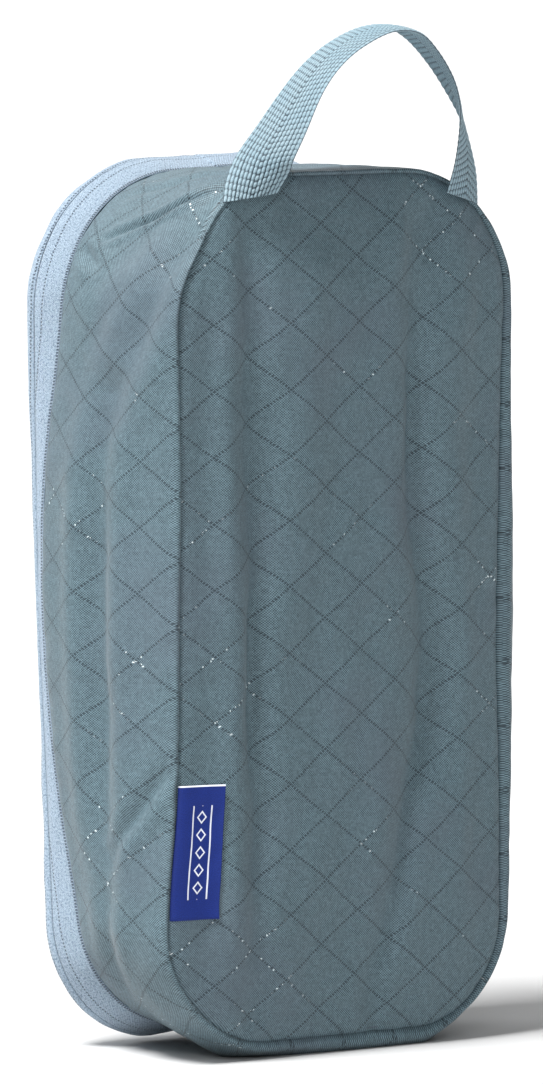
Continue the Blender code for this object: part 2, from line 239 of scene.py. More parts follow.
def pulled_seam(flat):
    flat = flat.copy()
    left = flat[:, 0] < 0
    reach = np.abs(flat[:, 0]) / (FRONT_WIDTH / 2)
    for side, shift, height, half, power in SEAM_PULLS:
        moved = left if side < 0 else ~left
        flat[moved, 0] += shift * (bell(flat[:, 1], height, half) * reach**power)[moved]
    return flat


# -------- meshes

def link(obj):
    bpy.context.scene.collection.objects.link(obj)
    return obj


def mesh_object(name, points, faces, material, uv=None, merge=0.0):
    mesh = bpy.data.meshes.new(name)
    mesh.from_pydata(points.tolist(), [], faces)
    if uv is not None:
        layer = mesh.uv_layers.new(name="cloth")
        corners = np.zeros(len(mesh.loops), np.int32)
        mesh.loops.foreach_get("vertex_index", corners)
        layer.data.foreach_set("uv", uv[corners].astype(np.float32).ravel())
    mesh.materials.append(material)
    if merge:
        weld(mesh, merge)
    mesh.shade_smooth()
    return link(bpy.data.objects.new(name, mesh))


def weld(mesh, distance):
    edit = bmesh.new()
    edit.from_mesh(mesh)
    bmesh.ops.remove_doubles(edit, verts=edit.verts, dist=distance)
    edit.to_mesh(mesh)
    edit.free()


def grid_faces(rows, columns, closed_columns=False, flip=False, first=0):
    faces = []
    for i in range(rows - 1):
        for j in range(columns if closed_columns else columns - 1):
            a = first + i * columns + j
            b = first + i * columns + (j + 1) % columns
            c = b + columns
            d = a + columns
            faces.append((a, d, c, b) if flip else (a, b, c, d))
    return faces


def grid_object(name, points, uv, material, closed_rows=False, flip=False, thick=0.0, merge=1e-6):
    """A sheet from a (rows, columns, 3) array. A closed one repeats its first row, so its UVs don't wrap."""
    if closed_rows:
        points = np.concatenate([points, points[:1]])
    faces = grid_faces(*points.shape[:2], flip=flip)
    obj = mesh_object(name, points.reshape(-1, 3), faces, material, uv.reshape(-1, 2), merge=merge)
    if thick:
        add_thickness(obj, thick)
    return obj


def add_thickness(obj, thick):
    modifier = obj.modifiers.new("Thickness", "SOLIDIFY")
    modifier.thickness = thick
    modifier.offset = -1


def cloth_lengths(points):
    """Distance along the first axis of a closed (rows, 2) outline, with the closing step last."""
    return lengths_along(np.vstack([points, points[:1]]))


# -------- materials

# Sockets of the Mix node for colours. Its other sockets have the same names.
MIX_FACTOR, MIX_A, MIX_B, MIX_RESULT = 0, 6, 7, 2


class Nodes:
    """A short way to write a node tree: each method adds a node and returns its output."""

    def __init__(self, name):
        self.material = bpy.data.materials.new(name)
        self.material.use_nodes = True
        self.tree = self.material.node_tree
        self.shader = self.tree.nodes["Principled BSDF"]

    def add(self, kind, inputs=(), output=0, **settings):
        node = self.tree.nodes.new(kind)
        for key, value in settings.items():
            setattr(node, key, value)
        for key, value in dict(inputs).items():
            self.put(node.inputs[key], value)
        return node.outputs[output]

    def put(self, socket, value):
        if isinstance(value, bpy.types.NodeSocket):
            self.tree.links.new(value, socket)
        else:
            socket.default_value = value

    def math(self, operation, a, b=0.0, c=0.0):
        return self.add("ShaderNodeMath", {0: a, 1: b, 2: c}, operation=operation)

    def times(self, a, b):
        return self.math("MULTIPLY", a, b)

    def plus(self, a, b):
        return self.math("ADD", a, b)

    def away(self, value, place):
        return self.math("ABSOLUTE", self.math("SUBTRACT", value, place))

    def wave(self, value, length):
        return self.math("SINE", self.times(value, 2 * math.pi / length))

    def uv(self):
        return self.add("ShaderNodeUVMap", uv_map="cloth")

    def place(self):
        return self.add("ShaderNodeTexCoord", output="Object")

    def split(self, vector):
        node = self.tree.nodes.new("ShaderNodeSeparateXYZ")
        self.put(node.inputs[0], vector)
        return node.outputs[0], node.outputs[1], node.outputs[2]

    def noise(self, vector, scale, detail=2.0, roughness=0.5):
        inputs = {"Vector": vector, "Scale": scale, "Detail": detail, "Roughness": roughness}
        return self.add("ShaderNodeTexNoise", inputs)

    def cells(self, vector, size):
        """A random number for each cell of a grid."""
        snapped = self.add("ShaderNodeVectorMath", {0: vector, 1: size}, operation="SNAP")
        return self.add("ShaderNodeTexWhiteNoise", {"Vector": snapped})

    def range(self, value, low, high, to_low=0.0, to_high=1.0):
        inputs = {"Value": value, "From Min": low, "From Max": high, "To Min": to_low, "To Max": to_high}
        return self.add("ShaderNodeMapRange", inputs, interpolation_type="SMOOTHSTEP")

    def mix(self, factor, a, b):
        node = self.tree.nodes.new("ShaderNodeMix")
        node.data_type = "RGBA"
        for socket, value in ((MIX_FACTOR, factor), (MIX_A, a), (MIX_B, b)):
            self.put(node.inputs[socket], value)
        return node.outputs[MIX_RESULT]

    def bump(self, height, distance, strength=1.0, under=None):
        inputs = {"Height": height, "Distance": distance, "Strength": strength}
        if under is not None:
            inputs["Normal"] = under
        return self.add("ShaderNodeBump", inputs)

    def finish(self, colour=None, roughness=None, normal=None, **fixed):
        for key, value in (("Base Color", colour), ("Roughness", roughness), ("Normal", normal)):
            if value is not None:
                self.put(self.shader.inputs[key], value)
        for key, value in fixed.items():
            self.shader.inputs[key.replace("_", " ")].default_value = value
        return self.material


def colour(red, green, blue):
    """A linear colour from 0-255 screen values."""
    def linear(value):
        value /= 255
        return value / 12.92 if value <= 0.04045 else ((value + 0.055) / 1.055) ** 2.4

    return (linear(red), linear(green), linear(blue), 1.0)


GRID_WIDE = 0.0364
GRID_TALL = 0.0270
GRID_DASHES = 17
GRID_LINE = 0.39 * MM


def grid_lines(n, across, up):
    """Mask of the dashed diamond grid."""
    slope = math.hypot(1 / GRID_WIDE, 1 / GRID_TALL)
    wide = n.math("DIVIDE", across, GRID_WIDE)
    tall = n.math("DIVIDE", up, GRID_TALL)
    rising = n.plus(wide, tall)
    falling = n.math("SUBTRACT", wide, tall)
    mask = None
    for line, other in ((rising, falling), (falling, rising)):
        distance = n.math("DIVIDE", n.math("PINGPONG", line, 0.5), slope)
        on_line = n.range(distance, GRID_LINE, GRID_LINE * 1.6, 1.0, 0.0)
        dash = n.math("PINGPONG", n.math("MULTIPLY_ADD", other, GRID_DASHES, 0.5), 0.5)
        on_dash = n.range(dash, 0.20, 0.30)
        both = n.times(on_line, on_dash)
        mask = both if mask is None else n.math("MAXIMUM", mask, both)
    return mask


YARN = 1.02 * MM
FLOAT_LONG = 1.3 * MM
TONES = {
    "slate": colour(76, 97, 107),
    "light": colour(116, 143, 153),
    "dark": colour(23, 44, 53),
    "purple": colour(88, 96, 110),
    # Painted light and shade of the weave: a lit colour for the raised yarns and a shade colour for the gaps
    "raised": colour(127, 153, 164),
    "gap_painted_shade": colour(21, 39, 48),
}


def cloth_colour(n, uv, weave, grain):
    """Yarns of mixed fibres: each float of warp or weft has its own tone. The weave's raised yarns get a
    painted highlight and its gaps painted shade.
    """
    warp_tone = n.cells(uv, (YARN / 2, FLOAT_LONG, 1.0))
    weft_tone = n.cells(uv, (FLOAT_LONG, YARN / 2, 1.0))
    tone = n.plus(warp_tone, weft_tone)
    streak = n.noise(uv, 420.0, 1.0)
    patch = n.noise(uv, 13.0, 2.0)
    speck = n.math("MULTIPLY_ADD", tone, 0.38, n.times(n.range(grain, 0.30, 0.70), 0.24))
    base = n.mix(speck, TONES["dark"], TONES["light"])
    base = n.mix(0.10, base, TONES["slate"])
    # Painted highlight on the raised yarns and painted shade in the gaps between them, from the weave's
    # height
    base = n.mix(n.range(weave, 0.0, 0.5, 0.0, 0.72), base, TONES["raised"])
    base = n.mix(n.range(weave, -0.5, 0.0, 0.76, 0.0), base, TONES["gap_painted_shade"])
    base = n.mix(n.range(streak, 0.30, 0.70, 0.0, 0.12), base, TONES["dark"])
    return n.mix(n.range(patch, 0.44, 0.68, 0.0, 0.30), base, TONES["purple"])


def make_cloth(name):
    """Fine plain weave with heathered grain, and a dashed diamond grid of thicker yarn."""
    n = Nodes(name)
    uv = n.uv()
    drift = n.add("ShaderNodeTexNoise", {"Vector": uv, "Scale": 30.0, "Detail": 1.0}, output="Color")
    warp = n.add("ShaderNodeVectorMath", {0: drift, 1: (0.5, 0.5, 0.5)}, operation="SUBTRACT")
    warp = n.add("ShaderNodeVectorMath", {0: warp, "Scale": 1.6 * MM}, operation="SCALE")
    bent = n.add("ShaderNodeVectorMath", {0: uv, 1: warp}, operation="ADD")
    across, up, _ = n.split(bent)
    grid = grid_lines(n, across, up)
    weave = n.times(n.wave(across, YARN), n.wave(up, YARN))
    grain = n.noise(uv, 1500.0, 2.0, 0.6)
    base = cloth_colour(n, uv, weave, grain)

    # Painted glints: a few dashes of the grid are mixed towards near white, as if they caught the light
    painted_glint = n.noise(uv, 610.0, 0.0)
    glint_region = n.noise(uv, 17.0, 1.0)
    painted_glint = n.times(n.range(painted_glint, 0.64, 0.68), n.range(glint_region, 0.54, 0.62))
    yarn_and_glint_colour = n.mix(painted_glint, colour(15, 33, 43), colour(226, 238, 242))
    base = n.mix(n.times(grid, n.math("MULTIPLY_ADD", painted_glint, 0.2, 0.76)), base, yarn_and_glint_colour)

    height = n.plus(n.times(weave, 0.45), n.times(grain, 0.6))
    fine = n.bump(n.plus(height, n.times(grid, 0.9)), 0.10 * MM, 0.55)
    crinkle = n.noise(uv, 95.0, 3.0, 0.55)
    normal = n.bump(crinkle, 0.9 * MM, 0.16, fine)
    rough = n.range(grain, 0.3, 0.7, 0.50, 0.68)
    return n.finish(base, rough, normal, Sheen_Weight=0.12, Sheen_Roughness=0.45, Specular_IOR_Level=0.42)


def make_tape_material():
    """Knitted polyester tape, with two sewn rows. U runs along the tape, V across it from its outer edge."""
    n = Nodes("zipper_tape_knit")
    uv = n.uv()
    along, across, _ = n.split(uv)
    grain = n.noise(uv, 1300.0, 2.0, 0.6)
    pile = n.noise(uv, 760.0, 2.0, 0.65)
    knit = n.times(n.wave(across, 1.15 * MM), n.wave(along, 0.9 * MM))
    base = n.mix(n.range(grain, 0.40, 0.60), colour(120, 140, 161), colour(180, 199, 216))
    base = n.mix(n.range(pile, 0.42, 0.58, 0.0, 0.70), base, colour(164, 184, 202))
    base = n.mix(n.range(knit, 0.2, 1.0, 0.0, 0.25), base, colour(104, 124, 146))

    def sewn_row(place, width, pitch, share):
        near = n.range(n.away(across, place), width * 0.5, width, 1.0, 0.0)
        dash = n.math("PINGPONG", n.math("DIVIDE", along, pitch), 0.5)
        return n.times(near, n.range(dash, share, share + 0.1))

    rows = n.math("MAXIMUM", sewn_row(9.2 * MM, 0.40 * MM, 1.5 * MM, 0.20),
                  sewn_row(0.7 * MM, 0.65 * MM, 1.3 * MM, 0.16))
    base = n.mix(n.times(rows, 0.85), base, colour(50, 66, 82))
    height = n.plus(n.times(knit, 0.5), n.times(pile, 1.2))
    height = n.math("SUBTRACT", height, rows)
    normal = n.bump(height, 0.38 * MM, 0.95)
    return n.finish(base, 0.78, normal, Sheen_Weight=0.2, Sheen_Roughness=0.5)


def make_webbing_material():
    """The weave is in the mesh. Its height, kept in the attribute 'weave', paints shade into the gaps
    between the floats.
    """
    n = Nodes("handle_weave")
    height = n.add("ShaderNodeAttribute", output="Fac", attribute_name="weave")
    uv = n.uv()
    grain = n.noise(uv, 2600.0, 2.0, 0.6)
    patch = n.noise(uv, 60.0, 1.0)
    yarn = n.mix(n.range(grain, 0.3, 0.7), colour(112, 138, 150), colour(164, 187, 197))
    yarn = n.mix(n.range(patch, 0.35, 0.65, 0.0, 0.3), yarn, colour(128, 160, 176))
    # Painted shade: the low parts of the weave are mixed towards a dark colour
    base = n.mix(n.range(height, 0.20, 0.80), colour(34, 54, 66), yarn)
    normal = n.bump(grain, 0.12 * MM, 0.6)
    return n.finish(base, 0.62, normal, Sheen_Weight=0.15, Sheen_Roughness=0.4)


def make_binding_material():
    n = Nodes("woven_binding")
    uv = n.uv()
    along, across, _ = n.split(uv)
    rib = n.wave(along, 1.0 * MM)
    edge = n.wave(across, 0.8 * MM)
    grain = n.noise(uv, 900.0, 2.0)
    base = n.mix(n.range(grain, 0.35, 0.65), colour(70, 84, 95), colour(100, 116, 128))
    base = n.mix(n.range(rib, 0.0, 1.0, 0.0, 0.35), base, colour(58, 70, 80))
    normal = n.bump(n.plus(rib, n.times(edge, 0.4)), 0.10 * MM, 0.7)
    return n.finish(base, 0.8, normal, Sheen_Weight=0.1)


def make_thread_material():
    n = Nodes("tape_thread")
    tone = (120, 142, 164)
    grain = n.noise(n.place(), 3000.0, 1.0)
    base = n.mix(n.range(grain, 0.35, 0.65), colour(*(0.8 * t for t in tone)), colour(*tone))
    return n.finish(base, 0.55, n.bump(grain, 0.05 * MM, 0.5), Sheen_Weight=0.1)


def make_coil_material():
    n = Nodes("nylon_coil")
    tone = n.noise(n.place(), 160.0, 1.0)
    base = n.mix(n.range(tone, 0.3, 0.7), colour(118, 136, 156), colour(150, 168, 188))
    return n.finish(base, n.range(tone, 0.3, 0.7, 0.26, 0.38), None, Specular_IOR_Level=0.5)


def make_metal_material():
    """Satin painted zinc: even grey-blue, with fine tumbling marks and slightly worn edges."""
    n = Nodes("satin_painted_zinc")
    place = n.place()
    marks = n.noise(place, 2200.0, 3.0, 0.6)
    wear = n.noise(place, 240.0, 3.0, 0.6)
    pointed = n.add("ShaderNodeNewGeometry", output="Pointiness")
    worn = n.times(n.range(pointed, 0.62, 0.80, 0.0, 0.5), n.range(wear, 0.50, 0.70))
    base = n.mix(n.range(marks, 0.3, 0.7), colour(112, 126, 138), colour(124, 138, 150))
    base = n.mix(worn, base, colour(170, 176, 182))
    rough = n.range(marks, 0.3, 0.7, 0.30, 0.42)
    return n.finish(base, rough, n.bump(marks, 0.03 * MM, 0.4), Metallic=0.75)


def label_motif(n, across, up, width, height):
    """Mask of a column of small outlined diamonds between two fine lines, clear of the label's ends."""
    centre = width * 0.55
    pitch = 7.2 * MM
    reach = 19.0 * MM
    line_half = 0.30 * MM
    off_middle = n.math("SUBTRACT", up, height / 2)
    cell = n.times(n.math("PINGPONG", n.math("DIVIDE", off_middle, pitch), 0.5), pitch)
    size = n.plus(cell, n.away(across, centre))
    diamond = n.range(n.away(size, 2.3 * MM), 0.36 * MM, 0.56 * MM, 1.0, 0.0)
    lines = [n.range(n.away(across, centre + side * 5.0 * MM), line_half, line_half * 1.5, 1.0, 0.0)
             for side in (-1, 1)]
    inside = n.range(n.math("ABSOLUTE", off_middle), reach, reach + 0.3 * MM, 1.0, 0.0)
    return n.times(n.math("MAXIMUM", diamond, n.math("MAXIMUM", *lines)), inside)


def make_label_material(width, height):
    """Blue damask with a plain woven motif and a white top edge."""
    n = Nodes("label_damask")
    uv = n.uv()
    across, up, _ = n.split(uv)
    twill = n.wave(n.plus(across, up), 0.42 * MM)
    pick = n.wave(up, 0.30 * MM)
    grain = n.noise(uv, 2400.0, 2.0)
    blue = n.mix(n.range(grain, 0.3, 0.7), colour(12, 32, 100), colour(22, 48, 132))
    blue = n.mix(n.range(twill, -1.0, 1.0, 0.0, 0.35), blue, colour(30, 56, 146))
    edge = n.range(up, height - 0.75 * MM, height - 0.55 * MM)
    white = n.math("MAXIMUM", label_motif(n, across, up, width, height), edge)
    base = n.mix(white, blue, colour(232, 236, 248))
    height_map = n.plus(n.times(pick, 0.5), n.times(white, 1.2))
    return n.finish(base, 0.55, n.bump(height_map, 0.07 * MM, 0.6), Specular_IOR_Level=0.25)


def make_floor_material():
    n = Nodes("studio_floor")
    tone = n.noise(n.place(), 1.5, 2.0)
    base = n.mix(n.range(tone, 0.3, 0.7), (0.60, 0.60, 0.60, 1), (0.64, 0.64, 0.64, 1))
    return n.finish(base, 0.9, None, Specular_IOR_Level=0.1)


CLOTH = make_cloth("ripstop_cloth")
TAPE = make_tape_material()
WEBBING = make_webbing_material()
BINDING = make_binding_material()
COIL = make_coil_material()
METAL = make_metal_material()
TAPE_THREAD = make_thread_material()


# -------- the two outlines and the rim

FRONT_FLAT, FRONT_NORMAL = outline(FRONT_WIDTH, FRONT_HEIGHT, FRONT_TOP_RADIUS, FRONT_BOTTOM_RADIUS)
FRONT_FLAT = pulled_seam(FRONT_FLAT)
REAR_FLAT, REAR_NORMAL = outline(REAR_WIDTH, REAR_HEIGHT, REAR_TOP_RADIUS, REAR_BOTTOM_RADIUS)


# The rim's cross-section at stations round it: depth and outward place, in mm, of the gusset's edge, the
# slit, the crown behind it and the back panel's seam. The stations are cloth lengths from bottom centre.
RIGHT_RIM = (
    (0, (-24, -1.0, -12, 0.3, -6, 0.8, 0, -1.2)),
    (60, (-23, -3.0, -12, 0.5, -6, 1.0, 0, -1.5)),
    (120, (-24, -1.2, -12, 0.3, -6, 0.6, 0, -1.2)),
    (366, (-24, -1.2, -12, 0.3, -6, 0.6, 0, -1.2)),
    (430, (-23, -6.0, -12, 0.4, -6, 1.0, 0, -1.5)),
    (490, (-21, -6.7, -10.5, -1.8, -6, -1.6, 0, -4.0)),
)
LEFT_RIM = (
    (0, (-24, -1.0, -12, 0.3, -6, 0.8, 0, -1.2)),
    (45, (-22, -3.5, -10, 3.6, -5.5, 4.0, 0, -1.0)),
    (105, (-21, -3.5, -8.5, 3.0, -5, 3.6, 0, -3.0)),
    (170, (-14, 2.2, -7.0, 2.0, -3.0, 0.8, 1.0, -5.5)),
    (235, (-11, 4.0, -6.0, 2.0, -2.5, 0.0, 1.5, -6.8)),
    (300, (-13, 2.4, -7.0, 1.4, -3.0, 0.4, 1.0, -5.8)),
    (360, (-20, -6.0, -8, 0.6, -4.5, 1.0, 0, -4.0)),
    (425, (-20, -9.7, -9, -2.2, -5, -1.8, 0, -5.0)),
    (490, (-21, -6.7, -10.5, -1.8, -6, -1.6, 0, -4.0)),
)
# First column of each place in a rim profile
EDGE, CUT, CROWN, BACK = 0, 2, 4, 6


def rim_profile(along, total):
    """(stations, 8) depths and outward places round the rim, at cloth lengths along it."""
    columns = []
    for column in range(8):
        sides = []
        for table, lengths in ((RIGHT_RIM, along), (LEFT_RIM, total - along)):
            places = [row[0] * MM for row in table]
            values = [row[1][column] * MM for row in table]
            nearby = [np.interp(lengths + shift, places, values) for shift in np.linspace(-0.03, 0.03, 13)]
            sides.append(np.mean(nearby, axis=0))
        columns.append(np.where(along < total / 2, sides[0], sides[1]))
    return np.stack(columns, axis=1)


REAR_LENGTHS = cloth_lengths(REAR_FLAT)
RIM = rim_profile(REAR_LENGTHS[:-1], REAR_LENGTHS[-1])


def out_of_rim(flat, normal, out):
    return flat + normal * out[:, None]


# -------- the two big panels

FRONT_RINGS = 46
BACK_RINGS = 40
PANEL_WELD = 0.02 * MM


def panel_grid(flat, rings):
    """(outline points, rings, 2) from an outline in to a spine, and each point's distance from the seam."""
    height = flat[:, 1].max()
    half = np.abs(flat[:, 0]).max()
    spine = stack(0.0, np.clip(flat[:, 1], half, height - half))
    reach = np.linalg.norm(flat - spine, axis=1)
    inward = np.linspace(0, 1, rings) ** 1.5
    grid = flat[:, None] + (spine - flat)[:, None] * inward[None, :, None]
    return grid, reach[:, None] * inward[None]


def seam_roll(distance):
    """Height of cloth by its distance from a turned seam: a groove, a rounded ridge, then a shallow dip."""
    groove = -1.9 * MM * np.exp(-distance / (0.8 * MM))
    ridge = 0.5 * MM * bell(distance, 3.0 * MM, 2.0 * MM)
    dip = -0.3 * MM * bell(distance, 8.5 * MM, 3.5 * MM)
    return groove + ridge + dip


def seam_dip(distance):
    """How a panel drops behind the rolled edge of the gusset that it is sewn to."""
    return -3.0 * MM * np.exp(-distance / (1.3 * MM)) - 0.5 * MM * np.exp(-distance / (6 * MM))


def seam_lip(distance):
    """How far the gusset's rolled edge stands forward of the seam."""
    return 1.5 * MM * bell(distance, 1.4 * MM, 1.6 * MM) - 2.6 * MM * np.exp(-distance / (0.5 * MM))


def puckers(seed, along, distance, total, reach=9 * MM, pitch=17 * MM, depth=0.5 * MM):
    """Small gathers that run away from a seam."""
    turn = 2 * np.pi * along / total
    circle = stack(np.cos(turn), np.sin(turn)) * total / (2 * np.pi)
    wave = smooth_noise(seed, circle, pitch)
    return depth * wave * np.exp(-distance / reach) * (1 - np.exp(-distance / (2 * MM)))


# The front's upright ridges and troughs: depth, place along x, half width, share of the sway, and lean
FRONT_FOLDS = (
    (3.4 * MM, -61 * MM, 8 * MM, 1.0, 0.0),
    (-6.2 * MM, -47 * MM, 7 * MM, 1.0, 0.0),
    (-8.0 * MM, 41 * MM, 9 * MM, 1.6, 0.030),
    (1.8 * MM, 61 * MM, 8 * MM, 1.0, 0.0),
)


def front_relief(x, height, distance):
    """How far the front panel stands out of its seam's plane."""
    share = np.clip(distance / (FRONT_WIDTH / 2), 0, 1)
    dome = 7.0 * MM * np.sin(np.pi / 2 * share) ** 0.9
    sway = 3.0 * MM * smooth_noise(3, stack(x, height * 0.45), 0.09)
    middle = np.clip(1.25 - np.abs(height / FRONT_HEIGHT - 0.52) * 1.9, 0, 1)
    lean = np.clip((0.13 - height) / 0.10, 0, 1)
    folds = sum(depth * bell(x + sway * swaying + lean * leaning, place, half)
                for depth, place, half, swaying, leaning in FRONT_FOLDS) * middle
    broad = 0.9 * MM * smooth_noise(11, stack(x, height * 0.6), 0.07)
    small = 0.22 * MM * smooth_noise(12, stack(x, height * 0.7), 0.02)
    inner = 1 - np.exp(-distance / (12 * MM))
    return dome + (folds + broad + small) * inner


def make_front_panel():
    grid, distance = panel_grid(FRONT_FLAT, FRONT_RINGS)
    along = cloth_lengths(FRONT_FLAT)
    x, height = grid[..., 0], grid[..., 1]
    out = front_relief(x, height, distance) + seam_dip(distance)
    out += puckers(21, along[:-1, None], distance, along[-1])
    points = front_place(grid, FRONT_Y - out)
    uv = np.concatenate([grid, grid[:1]]) + np.array([-3.6 * MM, 0.9 * MM])
    obj = grid_object("front_panel_cloth", points, uv, CLOTH, closed_rows=True,
                      thick=CLOTH_THICK, merge=PANEL_WELD)
    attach(obj, "bag")
    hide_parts("front_panel")


def make_back_panel():
    seam = out_of_rim(REAR_FLAT, REAR_NORMAL, RIM[:, BACK + 1] - 0.3 * MM)
    grid, distance = panel_grid(seam, BACK_RINGS)
    along = cloth_lengths(REAR_FLAT)
    x, height = grid[..., 0], grid[..., 1]
    share = np.clip(distance / (REAR_WIDTH / 2), 0, 1)
    spots = stack(x, height * 0.55)
    out = 2.6 * MM * np.sin(np.pi / 2 * share) ** 0.8
    inner = 1 - np.exp(-distance / (14 * MM))
    broad = 1.1 * MM * smooth_noise(31, spots, 0.085)
    small = 0.25 * MM * smooth_noise(32, spots, 0.024)
    fold = -1.3 * MM * bell(x + 0.1 * (height - 0.18), 22 * MM, 9 * MM) * bell(height, 0.2, 0.1)
    out += (broad + small + fold) * inner + seam_roll(distance)
    out += puckers(33, along[:-1, None], distance, along[-1])
    out += RIM[:, BACK, None] * np.exp(-distance / (20 * MM))
    points = rear_place(grid, out)
    uv = np.concatenate([grid, grid[:1]]) + np.array([0.3, 0.1])
    obj = grid_object("back_panel_cloth", points, uv, CLOTH, closed_rows=True, flip=True,
                      thick=CLOTH_THICK, merge=PANEL_WELD)
    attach(obj, "lid")
    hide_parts("back_panel")


# -------- the gusset

GUSSET_COLUMNS = 84

# Folds as a path of (cloth length, distance from the front seam), a depth and a half width. The cloth
# length is measured from the bottom centre up the -X side. The first ones fan out from the handle's end.
FAN_FOLDS = (
    (((0.442, 0.004), (0.424, 0.0145), (0.413, 0.0325), (0.402, 0.0660)), 2.2 * MM, 1.7 * MM),
    (((0.432, 0.002), (0.416, 0.005), (0.398, 0.010), (0.380, 0.015), (0.362, 0.022), (0.345, 0.030),
      (0.322, 0.039)), 2.4 * MM, 7.5 * MM),
    (((0.448, 0.006), (0.440, 0.026), (0.432, 0.050), (0.424, 0.074)), 1.3 * MM, 2.6 * MM),
    (((0.400, 0.080), (0.395, 0.070), (0.390, 0.060)), 1.8 * MM, 2.6 * MM),
)
SIDE_FOLDS = (
    (((0.338, 0.040), (0.300, 0.043), (0.240, 0.042), (0.180, 0.040), (0.130, 0.036)), 4.4 * MM, 7.0 * MM),
    (((0.130, 0.036), (0.105, 0.040), (0.080, 0.048)), 1.6 * MM, 5.0 * MM),
    (((0.186, 0.003), (0.167, 0.016), (0.145, 0.033)), 2.0 * MM, 3.4 * MM),
)


# Softer folds of the +X side, measured up from the bottom centre
RIGHT_FOLDS = (
    (((0.13, 0.030), (0.22, 0.036), (0.32, 0.030)), 1.4 * MM, 8 * MM),
    (((0.36, 0.006), (0.40, 0.022), (0.42, 0.046)), 1.3 * MM, 4 * MM),
)


def gusset_swell(share):
    """How far the side swells out between its seams: most underneath, and little at the bottom left."""
    flat, normal = FRONT_FLAT, FRONT_NORMAL
    height = flat[:, 1] / FRONT_HEIGHT
    side = 5.0 * MM * np.abs(normal[:, 0]) ** 6 * np.sin(np.pi * np.clip(height, 0, 1))
    right = 4.0 * MM * np.clip(normal[:, 0], 0, 1) ** 4
    down = np.clip(-normal[:, 1], 0, 1)
    base = 3.0 * MM - 1.4 * MM * down - 1.6 * MM * np.clip(normal[:, 1], 0, 1) ** 2
    corner = 3.0 * MM * (2 * np.abs(normal[:, 0]) * down) ** 2
    swell = base + side + right + 14.5 * MM * down**10 + corner
    left = np.clip((-flat[:, 0] - 5 * MM) / (35 * MM), 0, 1) * down
    flatter = 1 - left[:, None] * (0.35 + 0.5 * np.clip(share * 3 - 0.9, 0, 1))
    return swell[:, None] * np.sin(np.pi * share) ** 0.55 * flatter


def gusset_folds(along, distance, total):
    """The folds of both sides, as heights. Each left fold is a crease with a soft ridge beside it."""
    out = 0 * distance
    for path, depth, half in FAN_FOLDS + SIDE_FOLDS:
        away, run = distance_to_path(stack(total - along, distance), catmull(path, 8))
        fade = np.sin(np.pi * np.clip(run, 0.02, 0.98)) ** 0.5
        out += depth * (0.55 * bell(away, 2.1 * half, 1.1 * half) - bell(away, 0, half)) * fade
    for path, depth, half in RIGHT_FOLDS:
        away, run = distance_to_path(stack(along, distance), catmull(path, 8))
        out -= depth * bell(away, 0, half) * np.sin(np.pi * np.clip(run, 0.05, 0.95))
    return out


def gusset_relief(share, width, along, total):
    """How far the cloth stands out of the straight line from the front seam to the rim."""
    distance = share * width
    to_rim = width - distance
    out = gusset_swell(share)
    out -= 0.9 * MM * np.exp(-distance / (0.9 * MM)) + 1.3 * MM * np.exp(-to_rim / (1.3 * MM))
    tuck = 6.2 * MM * np.clip(FRONT_NORMAL[:, 0], 0, 1) * bell(FRONT_FLAT[:, 1], 0.17, 0.10)
    out += tuck[:, None] * (1 - np.exp(-distance / (2.5 * MM)))
    out += puckers(41, along, distance, total, depth=0.22 * MM)
    out += puckers(42, along, to_rim, total, depth=0.6 * MM, pitch=22 * MM)
    turn = 2 * np.pi * along / total
    ring = stack(np.cos(turn) * total / 6.3, np.sin(turn) * total / 6.3, distance * 1.4)
    waves = 0.7 * MM * smooth_noise(43, ring, 0.065) + 0.15 * MM * smooth_noise(44, ring, 0.02)
    return out + waves * np.sin(np.pi * share) ** 0.7 + gusset_folds(along, distance, total)


def make_gusset():
    near = front_place(FRONT_FLAT, FRONT_Y)
    far = rear_place(out_of_rim(REAR_FLAT, REAR_NORMAL, RIM[:, EDGE + 1]), RIM[:, EDGE])
    width = np.linalg.norm(far - near, axis=1)
    t = np.linspace(0, 1, GUSSET_COLUMNS)
    share = 0.5 - 0.5 * np.cos(np.pi * t) * (1 - 0.25 * np.sin(np.pi * t))
    distance = share * width[:, None]
    lengths = cloth_lengths(FRONT_FLAT)
    total = lengths[-1]
    out = gusset_relief(share, width[:, None], lengths[:-1, None], total)
    normal = stack(FRONT_NORMAL[:, 0], 0.0, FRONT_NORMAL[:, 1])
    points = near[:, None] + (far - near)[:, None] * share[:, None] + normal[:, None] * out[..., None]
    points[..., 1] -= seam_lip(distance)
    points[..., 2] = np.maximum(points[..., 2], CLOTH_THICK * 0.2)
    uv = stack(np.concatenate([distance, distance[:1]]), lengths[:, None])
    obj = grid_object("gusset_cloth", points, uv, CLOTH, closed_rows=True, flip=True, thick=CLOTH_THICK)
    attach(obj, "bag")
    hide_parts("side_gusset")


# -------- zipper

TAPE_COLUMNS = 20
TOOTH_PITCH = 1.35 * MM
COIL_WIDE = 2.6 * MM
COIL_THICK = 1.25 * MM


def rim_outline(start_x):
    flat, normal = outline(REAR_WIDTH, REAR_HEIGHT, REAR_TOP_RADIUS, REAR_BOTTOM_RADIUS, start_x)
    along = lengths_along(flat)
    return flat, normal, rim_profile(along + start_x, along[-1] + 2 * start_x), along


def bag_half(profile, share):
    """Depth and outward place across the bag's half, from the gusset's edge (share 0) to the slit (1)."""
    a, b = profile[:, EDGE : EDGE + 2, None], profile[:, CUT : CUT + 2, None]
    place = a + (b - a) * share
    place[:, 0] += np.where(share > 0.5, -0.40 * MM * (2 * share - 1), -0.6 * MM * (1 - 2 * share))
    place[:, 1] += 0.45 * MM * (1 - share) + 0.8 * MM * np.sin(np.pi * share)
    return place[:, 0], place[:, 1]


